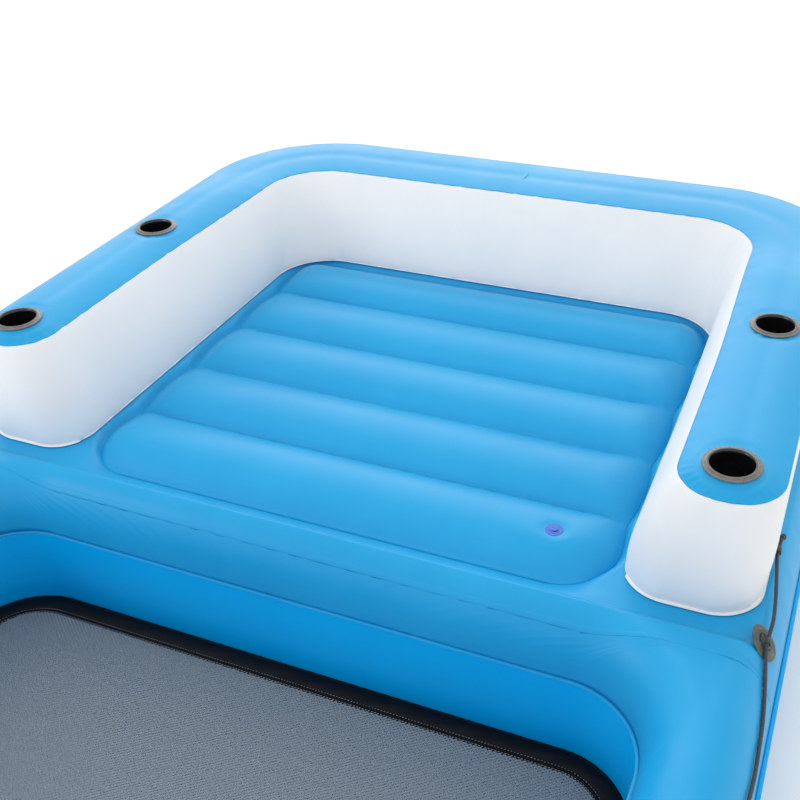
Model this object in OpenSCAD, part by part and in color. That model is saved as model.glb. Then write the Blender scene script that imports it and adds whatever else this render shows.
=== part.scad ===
// Inflatable pool float: a lounge with a ribbed mattress and a U-shaped backrest,
// joined to a foot well with a mesh floor. Millimetres, +Z up, +Y towards the backrest,
// origin on the ground under the middle of the float.

/* [Base] */
// Overall length of the base chamber
base_len = 3068; // [2800:4:3400]
// Width of the base chamber at its outer seam
base_w = 2110; // [2060:2:2300]
// Height of the crown of the base above the ground
crown_h = 385; // [370:1:400]
// Height of the deck beside the mattress, under the backrest
deck_h = 356; // [350:1:356]
// Height of the seam line round the base
seam_h = 235; // [200:1:250]
// Distance over which the base rounds up from its seam to its crown
shoulder_r = 104; // [80:1:104]
// Radius of the outer corners at the lounge end
rear_corner_r = 440; // [420:5:480]
// Radius of the outer corners at the foot end
foot_corner_r = 330; // [250:5:420]

/* [Foot well] */
// Width of the foot well at its seam
well_w = 1692; // [1600:2:1700]
// Length of the foot well
well_len = 900; // [700:10:1000]
// Radius of the corners of the foot well
well_corner_r = 190; // [150:5:250]
// Height of the mesh floor above the ground
mesh_h = 18; // [14:1:30]
// Width of the dark border round the mesh floor
border_w = 62; // [40:1:90]

/* [Mattress] */
// Half width of the mattress
mat_hw = 680; // [660:1:690]
// Length of the mattress along the float
mat_len = 1207; // [1190:1:1215]
// Height of the crests of the ridges
crest_h = 382; // [370:1:390]
// Height of the grooves between the ridges
groove_h = 342; // [338:1:350]
// Number of ridges across the mattress
ridges = 5; // [4:1:6]

/* [Backrest] */
// Height of the seam between the white wall and the blue top panel
top_seam_h = 624; // [600:1:640]
// Height of the middle of the top panel
top_h = 642; // [636:1:650]
// Half width of the backrest at its outer foot
rest_hw = 988; // [980:1:990]
// Half width of the lounge bay between the arms, at the foot of the wall
bay_hw = 708; // [706:1:725]
// Outward lean of the inner wall between its foot and its top seam
lean = 80; // [60:1:90]

/* [Fittings] */
// Inner radius of a cup holder
cup_r = 45; // [40:0.5:48]
// Depth of a cup holder
cup_depth = 78; // [60:1:85]
// Diameter of the grab rope
rope_d = 8; // [6:0.5:10]

/* [Hidden] */
$fn = 64;

blue = [0.24, 0.66, 0.90];
deep_blue = [0.10, 0.52, 0.78];
white = [0.90, 0.92, 0.94];
navy = [0.10, 0.13, 0.17];
grey_mesh = [0.45, 0.52, 0.57];
ring_grey = [0.42, 0.40, 0.38];
valve_blue = [0.20, 0.35, 0.75];

// Every air chamber is a shell of welded sheets of this thickness
sheet_t = 5;
// Clearance between inner webs and the sheets they tie together
web_gap = 0.3;
// Steps in a quarter turn of a plan outline
arc_n = 8;

// Distances along the float: lounge end to mattress front, and on from there to seam and well
mat_in = 1655;
seam_in = 115;
well_in = 152;

// Lines across the float, from the lounge end to the foot end
back_y = base_len / 2;
mat_y = back_y - mat_in;
mat_back_y = mat_y + mat_len;
deck_seam_y = mat_y - seam_in;
well_back_y = mat_y - well_in;
well_front_y = well_back_y - well_len;
foot_y = -base_len / 2;
base_hw = base_w / 2;
well_hw = well_w / 2;
// Height of the tray that the mattress lies in, and inset of the base's foot from its seam
tray_h = 310;
lower_inset = 70;
// Small corner radius of the deck and ring sheets where they meet at the deck seam
seam_corner_r = 3;

// ---------------------------------------------------------------- general functions

function mix(a, b, k) = a + (b - a) * k;
function flat_rise(d, r) = d >= r ? 1 : d <= 0 ? 0 : sqrt(1 - pow(1 - d / r, 2));
function ease(k) = let (c = max(0, min(1, k))) c * c * (3 - 2 * c);

// Distance from point p to a rounded rectangle, negative inside it
function rect_dist(p, hw, y0, y1, r0, r1) =
    let (r = p.y < (y0 + y1) / 2 ? r0 : r1)
    let (q = [abs(p.x) - hw + r, abs(p.y - (y0 + y1) / 2) - (y1 - y0) / 2 + r])
    norm([max(q.x, 0), max(q.y, 0)]) + min(max(q.x, q.y), 0) - r;

// Quarter arc of arc_n steps about c, without its first point when skip is 1
function arc(c, r, from, to, skip = 0) =
    [for (i = [skip : arc_n]) c + r * [cos(mix(from, to, i / arc_n)), sin(mix(from, to, i / arc_n))]];

// Points between a and b at the given shares of the way
function between(a, b, shares) = [for (k = shares) mix(a, b, k)];

// Rounded rectangle from y0 to y1 as one loop, with extra points along its sides
function rect_loop(hw, y0, y1, r0, r1, shares = []) = concat(
    arc([hw - r0, y0 + r0], r0, -90, 0),
    between([hw, y0 + r0], [hw, y1 - r1], shares),
    arc([hw - r1, y1 - r1], r1, 0, 90),
    between([hw - r1, y1], [-hw + r1, y1], shares),
    arc([-hw + r1, y1 - r1], r1, 90, 180),
    between([-hw, y1 - r1], [-hw, y0 + r0], shares),
    arc([-hw + r0, y0 + r0], r0, 180, 270),
    between([-hw + r0, y0], [hw - r0, y0], shares)
);

function at_height(loop, z) = [for (p = loop) [p.x, p.y, z]];
function flatten(lists) = [for (list = lists) each list];

function skin_faces(count, size, closed) =
    [for (j = [0 : count - (closed ? 1 : 2)], i = [0 : size - 1])
        let (k = (j + 1) % count, n = (i + 1) % size)
        [j * size + i, k * size + i, k * size + n, j * size + n]];

// Faces that close a ring of an even number of points, as a strip across it
function cap_faces(start, size, turned) =
    [for (i = [0 : size / 2 - 2])
        let (quad = [start + i, start + i + 1, start + size - 2 - i, start + size - 1 - i])
        turned ? [quad[3], quad[2], quad[1], quad[0]] : quad];

// Solid through a row of rings, closed by its first and last ring
module swept(rings) {
    size = len(rings[0]);
    count = len(rings);
    polyhedron(
        flatten(rings),
        concat(
            skin_faces(count, size, false),
            cap_faces(0, size, false),
            cap_faces((count - 1) * size, size, true)
        ),
        convexity = 8
    );
}

// Solid through a row of loops that joins up with itself, such as a band of sheet
module looped(loops) {
    polyhedron(flatten(loops), skin_faces(len(loops), len(loops[0]), true), convexity = 8);
}

// Sheet whose rows run from a top row to the matching bottom row
module sheet(top_rows, bottom_rows) {
    swept([for (j = [0 : len(top_rows) - 1])
        let (low = bottom_rows[j])
        concat(top_rows[j], [for (i = [len(low) - 1 : -1 : 0]) low[i]])]);
}

module sides() {
    children();
    mirror([1, 0, 0]) children();
}

// ---------------------------------------------------------------- base chamber

// Height of the deck along the float: a crown in front of the mattress, lower beside it
function deck_level(y) = mix(crown_h, deck_h, ease((y - mat_y + 76) / 40));

// Height of the top of the base at p, for the outer face (t = 0) or the inner face of a sheet
function base_top(p, t) =
    let (r = shoulder_r - t)
    let (outer = -rect_dist(p, base_hw, foot_y, back_y, foot_corner_r, rear_corner_r) - t)
    let (inner = rect_dist(p, well_hw, well_front_y, well_back_y, well_corner_r, well_corner_r) - t)
    let (round_over = seam_h + (crown_h - t - seam_h) * flat_rise(outer, r) * flat_rise(inner, r))
    let (top = min(round_over, deck_level(p.y) - t))
    let (out = rect_dist(p, mat_hw, mat_y, mat_back_y, mat_front_r, mat_rear_r))
    mix(tray_h - t, top, flat_rise(out, 40));

// Shares of the way across the sheets, closer together where they round over
cross_steps = [0, 0.02, 0.09, 0.22, 0.38, 0.5, 0.62, 0.78, 0.91, 0.98, 1];
deck_steps = [0, 0.03, 0.07, 0.12, 0.25, 0.5, 0.75, 0.88, 0.95, 0.99, 1];
side_shares = [0.0025, 0.01, 0.03, 0.1, 0.5, 0.9, 0.97, 0.99, 0.9975];

// Loop at share k of the way from the mattress to the deck seam and the outer edge
function deck_loop(k, t) =
    let (a = rect_loop(mat_hw + 1, mat_y - 1, mat_back_y + 1, mat_front_r + 1, mat_rear_r + 1, side_shares))
    let (b = rect_loop(base_hw - t, deck_seam_y, back_y - t, seam_corner_r, rear_corner_r - t,
        side_shares))
    [for (i = [0 : len(a) - 1])
        let (p = mix(a[i], b[i], k))
        [p.x, p.y, base_top(p, t)]];

// Band of sheet between two sets of loops, its outer face and its inner face
module band(outer_face, inner_face) {
    looped(concat(outer_face, [for (i = [len(inner_face) - 1 : -1 : 0]) inner_face[i]]));
}

module lounge_deck_sheet() {
    color(blue) band(
        [for (k = deck_steps) deck_loop(k, 0)],
        [for (k = deck_steps) deck_loop(k, sheet_t)]
    );
}

// Loop at share k of the way from the seam of the well to the outer edge of the ring
function ring_loop(k, t) =
    let (a = rect_loop(well_hw + t, well_front_y - t, well_back_y + t,
        well_corner_r + t, well_corner_r + t, side_shares))
    let (b = rect_loop(base_hw - t, foot_y + t, deck_seam_y, foot_corner_r - t, seam_corner_r,
        side_shares))
    [for (i = [0 : len(a) - 1])
        let (p = mix(a[i], b[i], k))
        [p.x, p.y, base_top(p, t)]];

module well_ring_top_sheet() {
    color(blue) band(
        [for (k = cross_steps) ring_loop(k, 0)],
        [for (k = cross_steps) ring_loop(k, sheet_t)]
    );
}

function outer_loop(inset) =
    rect_loop(base_hw - inset, foot_y + inset, back_y - inset,
        foot_corner_r - inset, rear_corner_r - inset);

function well_loop(grow) =
    rect_loop(well_hw + grow, well_front_y - grow, well_back_y + grow,
        well_corner_r + grow, well_corner_r + grow);

// Inset of the lower wall at share k of the way from the seam down to the ground
function lower_in(k) = lower_inset * (1 - sqrt(1 - k * k));

module base_lower_wall() {
    steps = [0, 0.25, 0.5, 0.7, 0.85, 0.95, 1];
    color(blue) difference() {
        band(
            [for (k = steps) at_height(outer_loop(lower_in(k)), mix(seam_h, sheet_t, k))],
            [for (k = steps) at_height(outer_loop(lower_in(k) + sheet_t), mix(seam_h, sheet_t, k))]
        );
        base_valve_at() valve_hole();
    }
}

module base_bottom_sheet() {
    color(blue) linear_extrude(sheet_t) difference() {
        polygon(outer_loop(lower_inset));
        polygon(well_loop(0));
    }
}

module well_wall() {
    color(deep_blue) looped([
        at_height(well_loop(0), seam_h),
        at_height(well_loop(sheet_t), seam_h),
        at_height(well_loop(sheet_t), sheet_t),
        at_height(well_loop(0), sheet_t)
    ]);
}

// Welded laps along the seams: thickness, widths outside and inside, and gap to the walls
flange_t = 2;
outer_lap = 10;
inner_lap = 8;
lap_gap = 0.2;

module base_seam_flange() {
    color(deep_blue) translate([0, 0, seam_h - flange_t / 2]) linear_extrude(flange_t) difference() {
        polygon(outer_loop(-outer_lap));
        polygon(outer_loop(-lap_gap));
    }
}

module well_seam_flange() {
    color(blue) translate([0, 0, seam_h - flange_t / 2]) linear_extrude(flange_t) difference() {
        polygon(well_loop(-lap_gap));
        polygon(well_loop(-inner_lap));
    }
}

// Inner webs: thickness, and radii of the holes that let the air through
web_t = 4;
web_hole_r = 45;
tie_hole_r = 30;
tie_gap = 30;

// Upright webs under the mattress, with holes that let the air through
module lounge_webs() {
    web_h = tray_h - 2 * sheet_t - 2 * web_gap;
    color(blue) for (k = [0.1 : 0.2 : 0.91])
        translate([0, mat_y + k * mat_len, sheet_t + web_gap]) rotate([90, 0, 0])
            linear_extrude(web_t, center = true) difference() {
                translate([-web_hw, 0]) square([2 * web_hw, web_h]);
                for (x = [-440 : 220 : 440]) translate([x, web_h / 2]) circle(r = web_hole_r);
            }
}

// Flat ties between the well wall and the outer wall, in the two beams and the foot tube
module beam_tie_webs() {
    color(blue) for (z = [120, 200]) translate([0, 0, z]) linear_extrude(web_t) difference() {
        polygon(rect_loop(base_hw - sheet_t - tie_gap, foot_y + sheet_t + tie_gap, well_back_y - 10,
            foot_corner_r - sheet_t - tie_gap, 20));
        polygon(rect_loop(well_hw + sheet_t + web_gap, well_front_y - sheet_t - web_gap,
            well_back_y + sheet_t, well_corner_r + sheet_t + web_gap, 20));
        sides() for (y = [well_front_y + 150 : 200 : well_back_y - 100])
            translate([well_hw + 90, y]) circle(r = tie_hole_r);
    }
}

// ---------------------------------------------------------------- mattress

ridge_pitch = mat_len / ridges;
web_hw = mat_hw - 40;
groove_web_t = 3;
mat_rim_h = 320;
mat_front_r = 135;
mat_rear_r = 95;

function mat_dist(p) = -rect_dist(p, mat_hw, mat_y, mat_back_y, mat_front_r, mat_rear_r);

// Top of the mattress: ridges that fade out past the ends of the webs and at the rim
function mat_top(p) =
    let (phase = abs(sin(180 * (p.y - mat_y) / ridge_pitch)))
    let (webbed = ease((web_hw + 15 - abs(p.x)) / 45))
    let (crest = mix(crest_h, groove_h, (1 - pow(phase, 0.7)) * webbed))
    mix(mat_rim_h, crest, flat_rise(mat_dist(p), 50));

module mattress_top_sheet() {
    color(blue) difference() {
        sheet(
            [for (y = mat_ys) mat_row(y, 0)],
            [for (y = mat_ys) mat_row(y, sheet_t)]
        );
        mattress_valve_at() valve_hole();
    }
}

mat_ys = concat(
    [mat_y, mat_y + 6, mat_y + 20],
    [for (j = [0 : ridges * 8 - 1]) let (y = mat_y + j * ridge_pitch / 8)
        if (y > mat_y + 25 && y < mat_back_y - 25) y],
    [mat_back_y - 20, mat_back_y - 6, mat_back_y]
);

function mat_row(y, t) =
    let (front = max(0, mat_front_r - y + mat_y), rear = max(0, mat_rear_r - mat_back_y + y))
    let (cut = mat_front_r - sqrt(mat_front_r * mat_front_r - front * front))
    let (hw = mat_hw - cut - mat_rear_r + sqrt(mat_rear_r * mat_rear_r - rear * rear))
    let (edge = [0, 6, 20, 40, 60, 90])
    let (xs = concat([for (d = edge) -hw + d], [for (k = [-0.75 : 0.25 : 0.76]) k * (hw - 90)],
        [for (i = [5 : -1 : 0]) hw - edge[i]]))
    [for (x = xs) [x, y, mat_top([x, y]) - t]];

module mattress_bottom_sheet() {
    color(blue) translate([0, 0, tray_h]) linear_extrude(mat_rim_h - 5 - tray_h)
        polygon(rect_loop(mat_hw, mat_y, mat_back_y, mat_front_r, mat_rear_r));
}

// Upright webs that pull the grooves down
module mattress_webs() {
    low = mat_rim_h - sheet_t + web_gap;
    color(blue) for (j = [1 : ridges - 1])
        translate([-web_hw, mat_y + j * ridge_pitch - groove_web_t / 2, low])
            cube([2 * web_hw, groove_web_t, groove_h - sheet_t - web_gap - low]);
}

// ---------------------------------------------------------------- backrest

wall_foot_h = 362;
arm_steps = 14;
back_steps = 8;
hem_w = 9;
hem_t = 3;
tie_h = 470;
tie_t = 3;

// Pairs of inner and outer points along the U, from the right arm's end to the middle of the back
function u_half(t, k) =
    let (hw_o = rest_hw + 12 * k - t, hw_i = bay_hw + lean * k + t)
    let (y_o = back_y - 60 + 5 * k - t, y_i = mat_back_y + 16 + 128 * k + t)
    let (y_e = mat_y + 12 + 30 * k + t)
    let (r_o = 385 - t, r_i = 170 + 20 * k + t, r_e = 95 - t)
    concat(
        [for (i = [0 : 6]) let (a = 15 * i, s = r_e * (1 - sin(a)), y = y_e + r_e * (1 - cos(a)))
            [[hw_i + s, y], [hw_o - s, y]]],
        [for (i = [1 : arm_steps]) let (f = i / arm_steps)
            [[hw_i, mix(y_e + r_e, y_i - r_i, f)], [hw_o, mix(y_e + r_e, y_o - r_o, f)]]],
        [for (i = [1 : arc_n]) let (a = 90 * i / arc_n, d = [cos(a), sin(a)])
            [[hw_i - r_i, y_i - r_i] + r_i * d, [hw_o - r_o, y_o - r_o] + r_o * d]],
        [for (i = [1 : back_steps]) let (f = i / back_steps)
            [[(hw_i - r_i) * (1 - f), y_i], [(hw_o - r_o) * (1 - f), y_o]]]
    );

function u_pairs(t, k) =
    let (half = u_half(t, k), last = len(half) - 2)
    concat(half, [for (i = [last : -1 : 0]) [for (p = half[i]) [-p.x, p.y]]]);

function u_loop(t, k) =
    let (pairs = u_pairs(t, k))
    concat([for (p = pairs) p[1]], [for (i = [len(pairs) - 1 : -1 : 0]) pairs[i][0]]);

// White wall all round the backrest, a little bulged between its foot and its top seam
module backrest_wall() {
    steps = [0, 0.15, 0.5, 0.85, 1];
    bulge = [0, 5, 9, 5, 0];
    levels = [for (k = steps) mix(wall_foot_h, top_seam_h, k)];
    color(white) difference() {
        band(
            [for (i = [0 : 4]) at_height(u_loop(-bulge[i], steps[i]), levels[i])],
            [for (i = [0 : 4]) at_height(u_loop(sheet_t - bulge[i], steps[i]), levels[i])]
        );
        backrest_valve_at() valve_hole();
    }
}

// Height of the top panel at share k of the way across it
function panel_h(k) = top_seam_h + (top_h - top_seam_h) * (1 - pow(2 * k - 1, 4));

function panel_row(pair, drop) =
    [for (k = [0, 0.05, 0.15, 0.3, 0.5, 0.7, 0.85, 0.95, 1])
        let (p = mix(pair[0], pair[1], k))
        [p.x, p.y, panel_h(k) + sheet_t - drop]];

module backrest_top_panel() {
    pairs = u_pairs(0, 1);
    color(blue) difference() {
        sheet([for (p = pairs) panel_row(p, 0)], [for (p = pairs) panel_row(p, sheet_t)]);
        for (place = cup_places) translate([place.x, place.y, top_h - 60]) cylinder(h = 120, r = cup_r + 4);
    }
}

module backrest_bottom_sheet() {
    color(white) translate([0, 0, wall_foot_h - sheet_t]) linear_extrude(sheet_t - 0.2)
        polygon(u_loop(0, 0));
}

// Welded flange that stands out round the foot of the wall
module backrest_foot_hem() {
    color(white) translate([0, 0, wall_foot_h - hem_t]) linear_extrude(hem_t) difference() {
        polygon(u_loop(-hem_w, 0));
        polygon(u_loop(-0.3, 0));
    }
}

// Flat tie half way up, which holds the two sides of the tube together
module backrest_tie_web() {
    color(white) translate([0, 0, tie_h]) linear_extrude(tie_t) difference() {
        polygon(u_loop(sheet_t + 4, 0.5));
        sides() for (y = [mat_y + 250 : 240 : mat_y + 1000])
            translate([rest_hw - 130, y]) circle(r = tie_hole_r);
        for (x = [-400 : 200 : 400]) translate([x, back_y - 190]) circle(r = tie_hole_r);
    }
}

// ---------------------------------------------------------------- cup holders

// Distance of the cup holders from the middle, and behind the front of the mattress
cup_x = 892;
front_cup = 132;
rear_cup = 723;
cup_places = [for (x = [-cup_x, cup_x], dy = [front_cup, rear_cup]) [x, mat_y + dy]];
ring_r = 57.5;
ring_low = top_h + sheet_t + 0.2;

module cup_liner(side, dy) {
    lip_z = ring_low + 3;
    color([0.05, 0.05, 0.06]) translate([side * cup_x, mat_y + dy, lip_z + 2 - cup_depth - 3])
        rotate_extrude() polygon([
            [0, 0], [cup_r + 3, 0], [cup_r + 3, cup_depth + 1], [cup_r + 6, cup_depth + 1],
            [cup_r + 6, cup_depth + 3], [cup_r, cup_depth + 3], [cup_r, 3], [0, 3]
        ]);
}

module cup_ring(side, dy) {
    color(ring_grey) translate([side * cup_x, mat_y + dy, ring_low]) rotate_extrude() polygon([
        [cup_r + 3.3, 0], [ring_r, 0], [ring_r, 1.2], [ring_r - 1.5, 2.8], [cup_r + 3.3, 2.8]
    ]);
}

// ---------------------------------------------------------------- mesh floor

net_t = 2;
border_t = 3;
piping_r = 2.5;

module mesh_floor() {
    color(grey_mesh) translate([0, 0, mesh_h]) linear_extrude(net_t) polygon(well_loop(-border_w));
}

module mesh_border() {
    color(navy) translate([0, 0, mesh_h]) linear_extrude(border_t) difference() {
        polygon(well_loop(-1));
        polygon(well_loop(-border_w + 0.3));
    }
}

module piping_ring(inset, r) {
    loop = well_loop(-inset);
    n = len(loop);
    looped([for (i = [0 : n - 1])
        let (p = loop[i], dir = loop[(i + 1) % n] - loop[(i + n - 1) % n], u = dir / norm(dir))
        let (axis_h = mesh_h + border_t + 0.2 + r)
        [for (a = [0 : 45 : 315]) [p.x + u.y * r * cos(a), p.y - u.x * r * cos(a), axis_h + r * sin(a)]]]);
}

// Two rows of piping over the stitched seams of the border
module mesh_piping() {
    color(navy) for (inset = [10, border_w - 6]) piping_ring(inset, piping_r);
}

// Strip welded to the foot of the well wall, which carries the border
module mesh_weld_strip() {
    color(deep_blue) translate([0, 0, mesh_h - 2.5]) linear_extrude(2.3) difference() {
        polygon(well_loop(-0.5));
        polygon(well_loop(-30));
    }
}

// ---------------------------------------------------------------- grab ropes

// Route of the right rope: from the arm patch, over the shoulder patches, to the foot end
rope_route = [
    [1007, 108, 410], [1005.3, 84, 409], [1005.3, 56, 409], [1010, 20, 401], [1016, -20, 391],
    [1021, -60, 381], [1024, -100, 371], [1022, -138, 361], [1022, -162, 360.6], [1025, -190, 351],
    [1033, -240, 337], [1042, -310, 319], [1046, -390, 311], [1047, -435, 309], [1046, -480, 311],
    [1042, -560, 319], [1033, -630, 337], [1025, -680, 351], [1022, -708, 360.6], [1022, -732, 360.6],
    [1025, -760, 351], [1033, -810, 337], [1041, -870, 321], [1044, -940, 316], [1041, -1010, 321],
    [1033, -1070, 337], [1025, -1120, 351], [1022, -1148, 360.6], [1022, -1172, 360.6], [1024, -1196, 359]
];
knot_r = 8.8;
patch_r = 38;
patch_t = 2;
pad_t = 1.5;
patch_ys = [-150, -720, -1160];
patch_x = 1015.2;
patch_z = 354.5;
patch_tilt = 48;
arm_patch_place = [996.2, 70, 410];
arm_patch_tilt = 97;
strap_w = 18;
strap_foot = 12;
strap_t = 2;

module rope() {
    n = len(rope_route);
    r = rope_d / 2;
    swept([for (i = [0 : n - 1])
        let (a = rope_route[max(0, i - 1)], b = rope_route[min(n - 1, i + 1)])
        let (u = (b - a) / norm(b - a), s = cross(u, [0, 0, 1]) / norm(cross(u, [0, 0, 1])))
        let (v = cross(s, u))
        [for (k = [0 : 45 : 315]) rope_route[i] + r * (s * cos(k) + v * sin(k))]]);
}

// A stopper knot over each end of the rope
module rope_knots() {
    for (end = [rope_route[0], rope_route[len(rope_route) - 1]])
        translate(end + [0, sign(end.y) * (knot_r + 0.2), 0]) sphere(r = knot_r);
}

module arm_at() {
    translate(arm_patch_place) rotate([0, arm_patch_tilt, 0]) children();
}

module base_at(y) {
    translate([patch_x, y, patch_z]) rotate([0, patch_tilt, 0]) children();
}

module patch_disc() {
    cylinder(h = patch_t, r = patch_r);
    translate([0, 0, patch_t]) cylinder(h = pad_t, r = patch_r - 10);
}

// Strap bridge over the rope, which runs along Y through it
module strap_bridge() {
    inner = rope_d / 2 + 0.6;
    arch = inner + 3;
    foot = inner + strap_foot;
    translate([0, 0, patch_t + pad_t + 0.1]) rotate([90, 0, 0]) linear_extrude(strap_w, center = true)
        difference() {
            union() {
                translate([-arch, 0]) square([2 * arch, inner + 1]);
                translate([0, inner + 1]) circle(r = arch);
                translate([-foot, 0]) square([2 * foot, strap_t]);
            }
            translate([0, inner + 1]) circle(r = inner);
            translate([-inner, strap_t]) square([2 * inner, inner - 1]);
            translate([-foot, -arch]) square([2 * foot, arch]);
        }
}

// ---------------------------------------------------------------- valves

// Each valve is drawn along +Z on a sheet whose face is at z = 0, with its tether towards +X
valve_r = 21;
neck_r = 9.8;
stem_r = 8.2;
bore_r = 4.8;
stem_top = 2.2;

module mattress_valve_at() {
    translate([536, mat_y + 0.5 * ridge_pitch, crest_h + 0.2]) children();
}

module base_valve_at() {
    translate([-480, back_y - 2.4, 150]) rotate([-90, 0, 0]) rotate([0, 0, 90]) children();
}

module backrest_valve_at() {
    translate([480, back_y - 48, 500]) rotate([-90, 0, 0]) rotate([0, 0, 90]) children();
}

module valve_hole() {
    translate([0, 0, -40]) cylinder(h = 80, r = neck_r + 0.2);
}

module valve_flange() {
    color(valve_blue) rotate_extrude() polygon([
        [stem_r + 0.3, -16], [neck_r, -16], [neck_r, 0], [valve_r, 0], [valve_r, 0.8],
        [valve_r - 1.5, 1.6], [neck_r + 3, 1.6], [neck_r + 2, 2.2], [stem_r + 0.3, 2.2]
    ]);
}

module valve_stem() {
    color(valve_blue) rotate_extrude() polygon([
        [bore_r, stem_top - 22], [stem_r, stem_top - 22], [stem_r, stem_top], [bore_r, stem_top]
    ]);
}

hinge_x = 7.4;
plug_low = stem_top + 0.3;

module valve_plug() {
    color(valve_blue) {
        translate([0, 0, plug_low]) cylinder(h = 1.6, r = 6.2);
        translate([0, 0, plug_low - 4]) cylinder(h = 4.1, r1 = bore_r - 1.4, r2 = bore_r - 0.35);
        translate([2, -2, plug_low]) cube([hinge_x - 2, 4, 1.2]);
        translate([hinge_x, 2, plug_low + 0.6]) rotate([90, 0, 0]) cylinder(h = 4, r = 0.6);
    }
}

// Check flap under the stem, which shuts against it when air is not being blown in
module valve_flap() {
    color(valve_blue) translate([0, 0, stem_top - 22 - 1.6]) cylinder(h = 1.2, r = stem_r - 0.6);
}

// ---------------------------------------------------------------- the float

module right_rope_parts(which) {
    if (which == "rope") color(navy) rope();
    if (which == "knots") color(navy) rope_knots();
    if (which == "arm_patch") color(navy) arm_at() patch_disc();
    if (which == "arm_strap") color(navy) arm_at() strap_bridge();
    if (which == "base_patches") color(navy) for (y = patch_ys) base_at(y) patch_disc();
    if (which == "base_straps") color(navy) for (y = patch_ys) base_at(y) strap_bridge();
}

module left_rope_parts(which) {
    mirror([1, 0, 0]) right_rope_parts(which);
}

base_bottom_sheet();
base_lower_wall();
base_seam_flange();
lounge_deck_sheet();
well_ring_top_sheet();
well_wall();
well_seam_flange();
lounge_webs();
beam_tie_webs();
mattress_top_sheet();
mattress_bottom_sheet();
mattress_webs();
backrest_wall();
backrest_top_panel();
backrest_bottom_sheet();
backrest_foot_hem();
backrest_tie_web();
cup_liner(-1, front_cup);  // cup_liner_front_left
cup_liner(1, front_cup);  // cup_liner_front_right
cup_liner(-1, rear_cup);  // cup_liner_rear_left
cup_liner(1, rear_cup);  // cup_liner_rear_right
cup_ring(-1, front_cup);  // cup_ring_front_left
cup_ring(1, front_cup);  // cup_ring_front_right
cup_ring(-1, rear_cup);  // cup_ring_rear_left
cup_ring(1, rear_cup);  // cup_ring_rear_right
mesh_floor();
mesh_border();
mesh_piping();
mesh_weld_strip();
left_rope_parts("rope");  // grab_rope_left
right_rope_parts("rope");  // grab_rope_right
left_rope_parts("knots");  // rope_knots_left
right_rope_parts("knots");  // rope_knots_right
left_rope_parts("arm_patch");  // arm_patch_left
right_rope_parts("arm_patch");  // arm_patch_right
left_rope_parts("arm_strap");  // arm_strap_left
right_rope_parts("arm_strap");  // arm_strap_right
left_rope_parts("base_patches");  // base_patches_left
right_rope_parts("base_patches");  // base_patches_right
left_rope_parts("base_straps");  // base_straps_left
right_rope_parts("base_straps");  // base_straps_right
mattress_valve_at() valve_flange();  // mattress_valve_flange
mattress_valve_at() valve_stem();  // mattress_valve_stem
mattress_valve_at() valve_plug();  // mattress_valve_plug
mattress_valve_at() valve_flap();  // mattress_valve_flap
base_valve_at() valve_flange();  // base_valve_flange
base_valve_at() valve_stem();  // base_valve_stem
base_valve_at() valve_plug();  // base_valve_plug
base_valve_at() valve_flap();  // base_valve_flap
backrest_valve_at() valve_flange();  // backrest_valve_flange
backrest_valve_at() valve_stem();  // backrest_valve_stem
backrest_valve_at() valve_plug();  // backrest_valve_plug
backrest_valve_at() valve_flap();  // backrest_valve_flap
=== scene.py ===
import math

import bpy
import numpy as np
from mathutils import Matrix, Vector


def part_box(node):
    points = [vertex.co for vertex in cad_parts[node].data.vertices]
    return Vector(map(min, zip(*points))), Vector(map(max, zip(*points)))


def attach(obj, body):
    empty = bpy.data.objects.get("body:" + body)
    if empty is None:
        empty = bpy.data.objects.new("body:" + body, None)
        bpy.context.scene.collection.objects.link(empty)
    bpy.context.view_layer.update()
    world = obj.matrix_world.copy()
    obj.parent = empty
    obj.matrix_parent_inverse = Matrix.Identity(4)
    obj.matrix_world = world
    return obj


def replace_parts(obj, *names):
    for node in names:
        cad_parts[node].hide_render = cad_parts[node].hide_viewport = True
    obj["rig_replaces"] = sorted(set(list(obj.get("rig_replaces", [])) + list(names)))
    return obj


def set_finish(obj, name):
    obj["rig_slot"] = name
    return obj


# Looks of the inflatable lounge float. Metres, +Z up, +Y towards the backrest.
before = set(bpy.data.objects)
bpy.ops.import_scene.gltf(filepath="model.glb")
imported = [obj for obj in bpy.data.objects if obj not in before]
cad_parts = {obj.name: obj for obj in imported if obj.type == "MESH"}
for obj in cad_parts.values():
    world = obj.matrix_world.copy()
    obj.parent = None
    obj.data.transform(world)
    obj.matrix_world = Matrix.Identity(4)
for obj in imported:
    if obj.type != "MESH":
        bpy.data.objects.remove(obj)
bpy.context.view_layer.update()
BODY = "float"

# ---------------------------------------------------------------- sizes from the frame


def span(node, axis):
    """Lowest and highest place of a CAD node along an axis."""
    low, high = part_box(node)
    return low[axis], high[axis]


SHEET = 0.005  # thickness of the CAD's chamber sheets
FOOT_Y, BACK_Y = span("base_lower_wall", 1)
BASE_HW = span("base_lower_wall", 0)[1]
SEAM_Z = span("base_lower_wall", 2)[1]
CROWN_Z = span("well_ring_top_sheet", 2)[1]
DECK_SEAM_Y = span("well_ring_top_sheet", 1)[1]
WELL_HW = span("well_wall", 0)[1] - SHEET
WELL_FRONT = span("well_wall", 1)[0] + SHEET
WELL_BACK = span("well_wall", 1)[1] - SHEET
MAT_HW = span("mattress_top_sheet", 0)[1]
MAT_Y, MAT_BACK = span("mattress_top_sheet", 1)
MAT_LOW, CREST_Z = span("mattress_top_sheet", 2)
MAT_RIM_Z = MAT_LOW + SHEET
WALL_FOOT_Z, TOP_SEAM_Z = span("backrest_wall", 2)
MESH_Z = span("mesh_floor", 2)[0]
CUP_TOP_Z = span("cup_liner_front_left", 2)[1]
RING_LOW_Z = span("cup_ring_front_left", 2)[0]

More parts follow.
